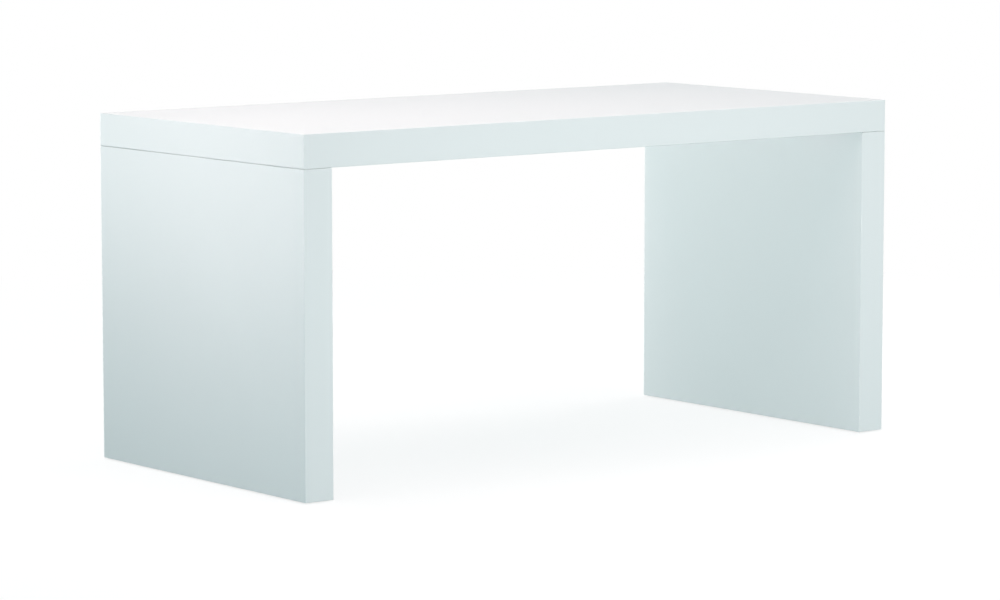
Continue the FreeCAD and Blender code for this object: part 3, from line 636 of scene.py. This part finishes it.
def face_outward(mesh):
    """Turns the faces of one closed piece outwards, and refuses a piece that isn't closed."""
    loose = [edge for edge in mesh.edges if not edge.is_manifold]
    if loose:
        raise RuntimeError(f"a turned piece has {len(loose)} open edges")
    bmesh.ops.recalc_face_normals(mesh, faces=mesh.faces)
    if mesh.calc_volume(signed=True) < 0:
        bmesh.ops.reverse_faces(mesh, faces=mesh.faces)


def add_piece(name, mesh, node):
    """Makes a mesh the piece that stands for a CAD node, in that node's finish."""
    data = bpy.data.meshes.new(name)
    mesh.to_mesh(data)
    mesh.free()
    data.shade_smooth()
    data.set_sharp_from_angle(angle=SHARP_EDGE)
    data.materials.append(frame["nodes"][node].material_slots[0].material)
    piece = bpy.data.objects.new(name, data)
    bpy.context.scene.collection.objects.link(piece)
    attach(piece, BODY_OF_NODE[node])
    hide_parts(node)


def replace_row(name, node, model, place=stand, along=2):
    """Models one of the like pieces of a CAD node and sets a copy in the place of each."""
    boxes = row_of(node)
    size = boxes[0][1] - boxes[0][0]
    mesh = model(size.y, size[along])
    face_outward(mesh)
    spread(mesh, [place(box) for box in boxes])
    add_piece(name, mesh, node)


class LacquerLooks(bpy.types.PropertyGroup):
    colour: bpy.props.FloatVectorProperty(
        name="Lacquer", description="Colour of the sprayed lacquer",
        subtype="COLOR", min=0.0, max=1.0, default=(0.862, 0.893, 0.898))
    roughness: bpy.props.FloatProperty(
        name="Roughness", description="Sheen of the lacquer: lower is glossier",
        subtype="FACTOR", min=0.05, max=1.0, default=0.42)
    pass_width: bpy.props.FloatProperty(
        name="Pass width", description="Width of the soft clouds that the spray passes leave",
        unit="LENGTH", min=0.01, default=0.22)
    peel_width: bpy.props.FloatProperty(
        name="Peel width", description="Width of the dimples in the sprayed film",
        unit="LENGTH", min=0.0002, default=0.0022)
    peel_depth: bpy.props.FloatProperty(
        name="Peel depth", description="Depth of the dimples in the sprayed film",
        unit="LENGTH", min=0.0, default=0.00003)
    film_reach: bpy.props.FloatProperty(
        name="Film reach", description="How far the film wraps round onto the edges of the panels",
        unit="LENGTH", min=0.0005, default=0.0085)
    film_ior: bpy.props.FloatProperty(
        name="Film index", description="Index of refraction of the lacquer",
        min=1.0, max=2.0, default=1.48)
    board: bpy.props.FloatVectorProperty(
        name="Board", description="Colour of the bare board under the film",
        subtype="COLOR", min=0.0, max=1.0, default=(0.42, 0.29, 0.17))
    board_roughness: bpy.props.FloatProperty(
        name="Board roughness", description="Roughness of the bare board",
        subtype="FACTOR", min=0.05, max=1.0, default=0.85)
    fibre_width: bpy.props.FloatProperty(
        name="Fibre width", description="Width of the fibres in the bare board",
        unit="LENGTH", min=0.0001, default=0.0009)


class CoreLooks(bpy.types.PropertyGroup):
    board: bpy.props.FloatVectorProperty(
        name="Fibreboard", description="Colour of the ribs inside the slabs",
        subtype="COLOR", min=0.0, max=1.0, default=(0.42, 0.29, 0.17))
    softwood: bpy.props.FloatVectorProperty(
        name="Softwood", description="Colour of the battens and rails that take the screws",
        subtype="COLOR", min=0.0, max=1.0, default=(0.66, 0.46, 0.25))
    beech: bpy.props.FloatVectorProperty(
        name="Beech", description="Colour of the dowels",
        subtype="COLOR", min=0.0, max=1.0, default=(0.58, 0.38, 0.21))
    board_flecks: bpy.props.FloatProperty(
        name="Board flecks", description="Noise level above which the fibreboard is flecked",
        subtype="FACTOR", min=0.0, max=1.0, default=0.68)
    beech_flecks: bpy.props.FloatProperty(
        name="Beech flecks", description="Noise level above which the beech is flecked",
        subtype="FACTOR", min=0.0, max=1.0, default=0.62)
    fleck_strength: bpy.props.FloatProperty(
        name="Fleck strength", description="How far a fleck covers the ground",
        subtype="FACTOR", min=0.0, max=1.0, default=0.4)
    ring_strength: bpy.props.FloatProperty(
        name="Ring strength", description="Share of the year rings in the softwood's grain",
        subtype="FACTOR", min=0.0, max=1.0, default=0.7)


class HardwareLooks(bpy.types.PropertyGroup):
    steel: bpy.props.FloatVectorProperty(
        name="Zinc plate", description="Colour of the plated steel",
        subtype="COLOR", min=0.0, max=1.0, default=(0.62, 0.64, 0.67))
    steel_roughness: bpy.props.FloatProperty(
        name="Plate roughness", description="Roughness of the plated steel",
        subtype="FACTOR", min=0.05, max=1.0, default=0.34)
    nylon: bpy.props.FloatVectorProperty(
        name="Nylon", description="Colour of the glide pads",
        subtype="COLOR", min=0.0, max=1.0, default=(0.58, 0.59, 0.6))


class FastenerSizes(bpy.types.PropertyGroup):
    thread_diameter: bpy.props.FloatProperty(
        name="Thread diameter", description="Outer diameter of the bolts' and studs' thread",
        unit="LENGTH", min=0.001, default=0.008)
    thread_pitch: bpy.props.FloatProperty(
        name="Thread pitch", description="Pitch of the bolts' and studs' thread",
        unit="LENGTH", min=0.0002, default=0.00125)
    thread_depth: bpy.props.FloatProperty(
        name="Thread depth", description="Depth of the bolts' and studs' thread",
        unit="LENGTH", min=0.0001, default=0.00075)
    thread_room: bpy.props.FloatProperty(
        name="Thread room", description="Radial room between a thread and its bore",
        unit="LENGTH", min=0.0, default=0.00005)
    head_land: bpy.props.FloatProperty(
        name="Head land", description="Width of the small flats and bevels on turned heads",
        unit="LENGTH", min=0.0001, default=0.0003)
    key_flats: bpy.props.FloatProperty(
        name="Key", description="Hexagon socket of the bolts across its flats",
        unit="LENGTH", min=0.001, default=0.005)
    key_depth: bpy.props.FloatProperty(
        name="Key depth", description="Depth of the bolts' hexagon socket",
        unit="LENGTH", min=0.0005, default=0.003)
    insert_pitch: bpy.props.FloatProperty(
        name="Insert pitch", description="Pitch of the coarse thread outside the inserts",
        unit="LENGTH", min=0.0005, default=0.003)
    insert_depth: bpy.props.FloatProperty(
        name="Insert depth", description="Depth of the coarse thread outside the inserts",
        unit="LENGTH", min=0.0001, default=0.0008)
    screw_diameter: bpy.props.FloatProperty(
        name="Screw", description="Outer diameter of the wood screws",
        unit="LENGTH", min=0.001, default=0.0045)
    screw_core: bpy.props.FloatProperty(
        name="Screw core", description="Diameter of the wood screws between their threads",
        unit="LENGTH", min=0.0005, default=0.003)
    screw_pitch: bpy.props.FloatProperty(
        name="Screw pitch", description="Pitch of the wood screws",
        unit="LENGTH", min=0.0005, default=0.0022)
    screw_shank: bpy.props.FloatProperty(
        name="Screw shank", description="Length of the head and the plain shank of the wood screws",
        unit="LENGTH", min=0.004, default=0.01)
    drive_width: bpy.props.FloatProperty(
        name="Drive", description="Lobed recess of the wood screws across its points",
        unit="LENGTH", min=0.001, default=0.0044)
    drive_depth: bpy.props.FloatProperty(
        name="Drive depth", description="Depth of the wood screws' recess",
        unit="LENGTH", min=0.0002, default=0.0016)
    dowel_flutes: bpy.props.IntProperty(
        name="Flutes", description="Glue flutes round a dowel", min=3, default=24)
    flute_depth: bpy.props.FloatProperty(
        name="Flute depth", description="Depth of the glue flutes",
        unit="LENGTH", min=0.0, default=0.0004)
    dowel_bevel: bpy.props.FloatProperty(
        name="Dowel bevel", description="Bevel on the ends of the dowels",
        unit="LENGTH", min=0.0001, default=0.001)


class GlideSizes(bpy.types.PropertyGroup):
    ball_diameter: bpy.props.FloatProperty(
        name="Ball", description="Ball that the stud stands on",
        unit="LENGTH", min=0.001, default=0.008)
    neck_diameter: bpy.props.FloatProperty(
        name="Neck", description="Stud between its ball and its collar",
        unit="LENGTH", min=0.001, default=0.0055)
    collar_height: bpy.props.FloatProperty(
        name="Collar height", description="Height of the hexagon collar",
        unit="LENGTH", min=0.001, default=0.005)
    stud_length: bpy.props.FloatProperty(
        name="Stud length", description="Thread above the collar",
        unit="LENGTH", min=0.005, default=0.03)
    sleeve_diameter: bpy.props.FloatProperty(
        name="Sleeve", description="Barbed sleeve that the stud screws into",
        unit="LENGTH", min=0.002, default=0.012)
    flange_thickness: bpy.props.FloatProperty(
        name="Flange", description="Thickness of the sleeve's flange",
        unit="LENGTH", min=0.0005, default=0.002)
    sleeve_barbs: bpy.props.IntProperty(
        name="Barbs", description="Barbs along the sleeve", min=1, default=5)
    barb_depth: bpy.props.FloatProperty(
        name="Barb depth", description="Depth of the sleeve's barbs",
        unit="LENGTH", min=0.0001, default=0.0006)
    socket_diameter: bpy.props.FloatProperty(
        name="Socket", description="Ball socket in the pad",
        unit="LENGTH", min=0.001, default=0.0086)
    mouth_diameter: bpy.props.FloatProperty(
        name="Mouth", description="Opening of the ball socket",
        unit="LENGTH", min=0.001, default=0.007)
    pad_round: bpy.props.FloatProperty(
        name="Pad round", description="Radius on the edges of the pad",
        unit="LENGTH", min=0.0001, default=0.001)
    groove_places: bpy.props.FloatVectorProperty(
        name="Grooves", description="Where the grooves lie in the sole, as shares of its radius",
        size=2, min=0.05, max=0.9, default=(0.4, 0.72))
    groove_width: bpy.props.FloatProperty(
        name="Groove width", description="Width of the grooves in the sole",
        unit="LENGTH", min=0.0005, default=0.0016)
    groove_depth: bpy.props.FloatProperty(
        name="Groove depth", description="Depth of the grooves in the sole",
        unit="LENGTH", min=0.0, default=0.0004)


class StudioSetup(bpy.types.PropertyGroup):
    floor_radius: bpy.props.FloatProperty(
        name="Floor radius", description="Radius of the round floor",
        unit="LENGTH", min=2.0, default=45.0)
    floor_glow: bpy.props.FloatProperty(
        name="Floor glow", description="Share of white that the floor by the table shows of itself",
        subtype="FACTOR", min=0.0, max=1.0, default=0.79)
    floor_tone: bpy.props.FloatVectorProperty(
        name="Floor tone", description="Colour of the floor where it takes light and shadow",
        subtype="COLOR", min=0.0, max=1.0, default=(0.28, 0.28, 0.28))
    shadow_reach: bpy.props.FloatVectorProperty(
        name="Shadow reach", description="Distances between which the floor fades into the white backdrop",
        size=2, unit="LENGTH", min=0.5, default=(1.6, 3.5))
    floor_bounce: bpy.props.FloatVectorProperty(
        name="Floor bounce", description="Colour of the light that the floor throws back",
        subtype="COLOR", min=0.0, max=1.0, default=(0.19, 0.3, 0.31))
    ambient: bpy.props.FloatVectorProperty(
        name="Ambient", description="Colour of the light from all round",
        subtype="COLOR", min=0.0, max=1.0, default=(0.36, 0.46, 0.48))
    lamp_level: bpy.props.FloatProperty(
        name="Lamp level", description="Strength of all softboxes together",
        subtype="FACTOR", min=0.0, max=2.0, default=1.0)
    camera_place: bpy.props.FloatVectorProperty(
        name="Camera place", description="Where the camera stands",
        subtype="TRANSLATION", unit="LENGTH", default=(-5.488, -6.956, 1.3885))
    camera_turn: bpy.props.FloatProperty(
        name="Camera turn", description="Turn of the camera from looking straight at the front",
        subtype="ANGLE", default=0.6676)
    camera_tilt: bpy.props.FloatProperty(
        name="Camera tilt", description="How far the camera looks down",
        subtype="ANGLE", default=0.1198)
    camera_lens: bpy.props.FloatProperty(
        name="Lens", description="Focal length of the camera",
        unit="CAMERA", min=10.0, default=145.7)
    camera_sensor: bpy.props.FloatProperty(
        name="Sensor", description="Width of the camera's sensor",
        unit="CAMERA", min=5.0, default=36.0)


class SLABTABLE_OT_finish_top(bpy.types.Operator):
    """Lacquers the skins and rails of the slab top"""

    bl_idname = "slab_table.finish_top"
    bl_label = "Finish top"

    def execute(self, context):
        nodes = [node for node in nodes_of("white_lacquer") if not node.startswith(ENDS)]
        low, high = box_round(nodes)
        dress(nodes, white_lacquer("white_lacquer_top", context.scene.table_lacquer, low, high))
        return {"FINISHED"}


class SLABTABLE_OT_finish_ends(bpy.types.Operator):
    """Lacquers the skins, stiles and bottom rails of both slab ends"""

    bl_idname = "slab_table.finish_ends"
    bl_label = "Finish ends"

    def execute(self, context):
        for end in ENDS:
            nodes = nodes_of("white_lacquer", end)
            low, high = box_round(nodes)
            dress(nodes, white_lacquer(f"white_lacquer_{end}_end", context.scene.table_lacquer, low, high))
        return {"FINISHED"}


class SLABTABLE_OT_finish_cores(bpy.types.Operator):
    """Gives the ribs, battens, rails and dowels inside the slabs their bare wood"""

    bl_idname = "slab_table.finish_cores"
    bl_label = "Finish cores"

    def execute(self, context):
        looks = context.scene.table_cores
        dress(nodes_of("bare_fibreboard"), bare_fibreboard(looks))
        dress(nodes_of("softwood"), softwood(looks))
        dress(nodes_of("beech"), beech(looks))
        return {"FINISHED"}


class SLABTABLE_OT_finish_hardware(bpy.types.Operator):
    """Gives the fixings and studs their zinc plate and the glide pads their nylon"""

    bl_idname = "slab_table.finish_hardware"
    bl_label = "Finish hardware"

    def execute(self, context):
        looks = context.scene.table_hardware
        dress(nodes_of("zinc_steel"), zinc_steel(looks))
        dress(nodes_of("nylon"), nylon(looks))
        return {"FINISHED"}


class SLABTABLE_OT_cut_bolts(bpy.types.Operator):
    """Cuts the countersunk bolts that hold the fixing plates to the top"""

    bl_idname = "slab_table.cut_bolts"
    bl_label = "Cut bolts"

    def execute(self, context):
        model = functools.partial(plate_bolt, context.scene.table_fasteners)
        for end in ENDS:
            replace_row(f"{end}_bolts_threaded", f"{end}_plate_bolts", model)
        return {"FINISHED"}


class SLABTABLE_OT_cut_inserts(bpy.types.Operator):
    """Cuts the threaded inserts that the plate bolts screw into"""

    bl_idname = "slab_table.cut_inserts"
    bl_label = "Cut inserts"

    def execute(self, context):
        model = functools.partial(threaded_insert, context.scene.table_fasteners)
        for end in ENDS:
            replace_row(f"{end}_inserts_threaded", f"{end}_threaded_inserts", model)
        return {"FINISHED"}


class SLABTABLE_OT_cut_screws(bpy.types.Operator):
    """Cuts the wood screws that hold the fixing plates to the ends"""

    bl_idname = "slab_table.cut_screws"
    bl_label = "Cut screws"

    def execute(self, context):
        model = functools.partial(plate_screw, context.scene.table_fasteners)
        for end in ENDS:
            replace_row(f"{end}_screws_threaded", f"{end}_plate_screws", model, drive_outward, along=0)
        return {"FINISHED"}


class SLABTABLE_OT_flute_dowels(bpy.types.Operator):
    """Turns the fluted dowels that line the top up with the ends"""

    bl_idname = "slab_table.flute_dowels"
    bl_label = "Flute dowels"

    def execute(self, context):
        model = functools.partial(fluted_dowel, context.scene.table_fasteners)
        for end in ENDS:
            replace_row(f"{end}_dowels_fluted", f"{end}_dowels", model)
        return {"FINISHED"}


class SLABTABLE_OT_cut_sleeves(bpy.types.Operator):
    """Cuts the barbed sleeves that the glide studs screw into"""

    bl_idname = "slab_table.cut_sleeves"
    bl_label = "Cut sleeves"

    def execute(self, context):
        model = functools.partial(glide_sleeve, context.scene.table_fasteners, context.scene.table_glides)
        for end in ENDS:
            replace_row(f"{end}_sleeves_barbed", f"{end}_glide_inserts", model)
        return {"FINISHED"}


class SLABTABLE_OT_cut_studs(bpy.types.Operator):
    """Cuts the four glide studs"""

    bl_idname = "slab_table.cut_studs"
    bl_label = "Cut studs"

    def execute(self, context):
        model = functools.partial(glide_stud, context.scene.table_fasteners, context.scene.table_glides)
        for corner in CORNERS:
            replace_row(f"{corner}_stud_threaded", f"{corner}_glide_stud", model)
        return {"FINISHED"}


class SLABTABLE_OT_mould_pads(bpy.types.Operator):
    """Moulds the four glide pads"""

    bl_idname = "slab_table.mould_pads"
    bl_label = "Mould pads"

    def execute(self, context):
        model = functools.partial(glide_pad, context.scene.table_glides)
        for corner in CORNERS:
            replace_row(f"{corner}_pad_moulded", f"{corner}_glide_pad", model)
        return {"FINISHED"}


def seen_ray(finish):
    """1 for rays that show the stage itself, in view or in a reflection, and 0 for light that bounces."""
    camera = finish.node("ShaderNodeLightPath", output="Is Camera Ray")
    shown = camera + camera.other("Is Glossy Ray") + camera.other("Is Transmission Ray")
    return finish.maths("MINIMUM", shown, 1.0)


def floor_paint(setup):
    """White floor that keeps the table's shadow, gives a plain grey bounce and is clear from below."""
    finish = new_finish("studio_floor")
    near = finish.node("ShaderNodeAddShader", None, {
        0: finish.node("ShaderNodeBsdfDiffuse", None, {"Color": opaque(setup.floor_tone)}),
        1: finish.node("ShaderNodeEmission", None, {"Strength": setup.floor_glow}),
    })
    far = finish.node("ShaderNodeEmission", None, {"Strength": 1.0})
    distance = finish.node("ShaderNodeVectorMath", {"operation": "LENGTH"}, {0: finish.place()}, "Value")
    fade = finish.node("ShaderNodeMapRange", {"interpolation_type": "SMOOTHSTEP"}, {
        "Value": distance, "From Min": setup.shadow_reach[0], "From Max": setup.shadow_reach[1],
    })
    shown = finish.node("ShaderNodeMixShader", None, {0: fade, 1: near, 2: far})
    bounced = finish.node("ShaderNodeBsdfDiffuse", None, {"Color": opaque(setup.floor_bounce)})
    upper = finish.node("ShaderNodeMixShader", None, {0: seen_ray(finish), 1: bounced, 2: shown})
    below = finish.node("ShaderNodeNewGeometry", output="Backfacing")
    clear = finish.node("ShaderNodeBsdfTransparent")
    return finish.surface(finish.node("ShaderNodeMixShader", None, {0: below, 1: upper, 2: clear}))


def build_floor(setup):
    """Round floor under the table, which belongs to the stage."""
    mesh = bpy.data.meshes.new("studio_floor")
    disc = bmesh.new()
    bmesh.ops.create_circle(disc, cap_ends=True, segments=FLOOR_ROUND, radius=setup.floor_radius)
    disc.to_mesh(mesh)
    disc.free()
    floor = bpy.data.objects.new("studio_floor", mesh)
    mesh.materials.append(floor_paint(setup))
    bpy.context.scene.collection.objects.link(floor)


def build_backdrop(setup):
    """White where it is seen, and a soft cool light from all round where it lights the table."""
    world = bpy.data.worlds.new("studio_backdrop")
    bpy.context.scene.world = world
    finish = Finish(world)
    colour = finish.mix(seen_ray(finish), opaque(setup.ambient), opaque((1.0, 1.0, 1.0)))
    light = finish.node("ShaderNodeBackground", None, {"Color": colour})
    finish.node("ShaderNodeOutputWorld", None, {"Surface": light})


class Softbox(NamedTuple):
    """A rectangular lamp: where it stands, what it faces, its size, its light, its beam and its glint."""

    name: str
    place: tuple
    target: tuple
    width: float
    height: float
    power: float
    colour: tuple
    beam: float = 180.0
    mirrored: bool = True


SOFTBOXES = (
    Softbox(
        "overhead", place=(-0.6, -0.2, 3.0), target=(-0.2, 0.0, 0.75), width=3.0, height=2.4,
        power=40.0, colour=(1.0, 0.77, 0.75), mirrored=False),
    Softbox(
        "left", place=(-3.4, 0.0, 2.0), target=(-0.8, -0.1, 0.75), width=1.0, height=0.5,
        power=0.95, colour=(1.0, 0.87, 0.87), beam=28.0, mirrored=False),
    Softbox(
        "front", place=(1.8, -4.6, 1.7), target=(0.2, -0.4, 0.5), width=3.0, height=1.6,
        power=58.0, colour=(1.0, 0.9, 0.87), mirrored=False),
    Softbox(
        "corner", place=(-3.2, -5.0, 0.4), target=(0.7, 0.0, 0.6), width=2.0, height=0.6,
        power=9.6, colour=(1.0, 1.0, 0.99), beam=46.0),
    Softbox(
        "rear", place=(-1.6, 5.5, 0.5), target=(0.7, 0.0, 0.5), width=2.6, height=0.9,
        power=162.0, colour=(0.98, 1.0, 0.98)),
    Softbox(
        "right", place=(4.2, 0.9, 0.9), target=(0.8, 0.0, 0.5), width=2.0, height=1.2,
        power=72.0, colour=(1.0, 0.94, 0.92), mirrored=False),
)


def build_softbox(softbox, level):
    """Hangs one lamp and turns it to what it faces."""
    lamp = bpy.data.lights.new(softbox.name + "_softbox", "AREA")
    lamp.shape = "RECTANGLE"
    lamp.size = softbox.width
    lamp.size_y = softbox.height
    lamp.spread = math.radians(softbox.beam)
    lamp.energy = softbox.power * level
    lamp.color = softbox.colour
    holder = bpy.data.objects.new(lamp.name, lamp)
    facing = (Vector(softbox.target) - Vector(softbox.place)).to_track_quat("-Z", "Y")
    holder.matrix_world = Matrix.Translation(softbox.place) @ facing.to_matrix().to_4x4()
    holder.visible_glossy = softbox.mirrored
    bpy.context.scene.collection.objects.link(holder)


def build_camera(setup):
    """Sets up the camera that sees the table as the photo does."""
    camera = bpy.data.cameras.new("camera")
    camera.lens = setup.camera_lens
    camera.sensor_width = setup.camera_sensor
    tripod = bpy.data.objects.new("camera", camera)
    tripod.location = setup.camera_place
    tripod.rotation_euler = (math.pi / 2 - setup.camera_tilt, 0.0, -setup.camera_turn)
    bpy.context.scene.collection.objects.link(tripod)
    bpy.context.scene.camera = tripod


class SLABTABLE_OT_build_studio(bpy.types.Operator):
    """Lays the pale floor, hangs the soft lamps and sets the camera"""

    bl_idname = "slab_table.build_studio"
    bl_label = "Build studio"

    def execute(self, context):
        setup = context.scene.table_studio
        build_floor(setup)
        build_backdrop(setup)
        for softbox in SOFTBOXES:
            build_softbox(softbox, setup.lamp_level)
        build_camera(setup)
        context.scene.view_settings.view_transform = "Standard"
        return {"FINISHED"}


class SLABTABLE_PT_steps(bpy.types.Panel):
    """Steps that finish the table and its studio"""

    bl_idname = "SLABTABLE_PT_steps"
    bl_label = "Slab table"
    bl_space_type = "VIEW_3D"
    bl_region_type = "UI"
    bl_category = "Table"

    def draw(self, context):
        for step in STEPS:
            self.layout.operator(step.bl_idname)
        for name, group in SETTINGS.items():
            column = self.layout.column()
            for setting in group.__annotations__:
                column.prop(getattr(context.scene, name), setting)


SETTINGS = {
    "table_lacquer": LacquerLooks,
    "table_cores": CoreLooks,
    "table_hardware": HardwareLooks,
    "table_fasteners": FastenerSizes,
    "table_glides": GlideSizes,
    "table_studio": StudioSetup,
}

STEPS = (
    SLABTABLE_OT_finish_top,
    SLABTABLE_OT_finish_ends,
    SLABTABLE_OT_finish_cores,
    SLABTABLE_OT_finish_hardware,
    SLABTABLE_OT_cut_bolts,
    SLABTABLE_OT_cut_inserts,
    SLABTABLE_OT_cut_screws,
    SLABTABLE_OT_flute_dowels,
    SLABTABLE_OT_cut_sleeves,
    SLABTABLE_OT_cut_studs,
    SLABTABLE_OT_mould_pads,
    SLABTABLE_OT_build_studio,
)

CLASSES = (*SETTINGS.values(), *STEPS, SLABTABLE_PT_steps)


def register():
    for entry in CLASSES:
        bpy.utils.register_class(entry)
    for name, group in SETTINGS.items():
        setattr(bpy.types.Scene, name, bpy.props.PointerProperty(type=group))


def unregister():
    for name in SETTINGS:
        delattr(bpy.types.Scene, name)
    for entry in reversed(CLASSES):
        bpy.utils.unregister_class(entry)


def main():
    register()
    bpy.ops.slab_table.finish_top()
    bpy.ops.slab_table.finish_ends()
    bpy.ops.slab_table.finish_cores()
    bpy.ops.slab_table.finish_hardware()
    bpy.ops.slab_table.cut_bolts()
    bpy.ops.slab_table.cut_inserts()
    bpy.ops.slab_table.cut_screws()
    bpy.ops.slab_table.flute_dowels()
    bpy.ops.slab_table.cut_sleeves()
    bpy.ops.slab_table.cut_studs()
    bpy.ops.slab_table.mould_pads()
    bpy.ops.slab_table.build_studio()


if __name__ == "__main__":
    main()
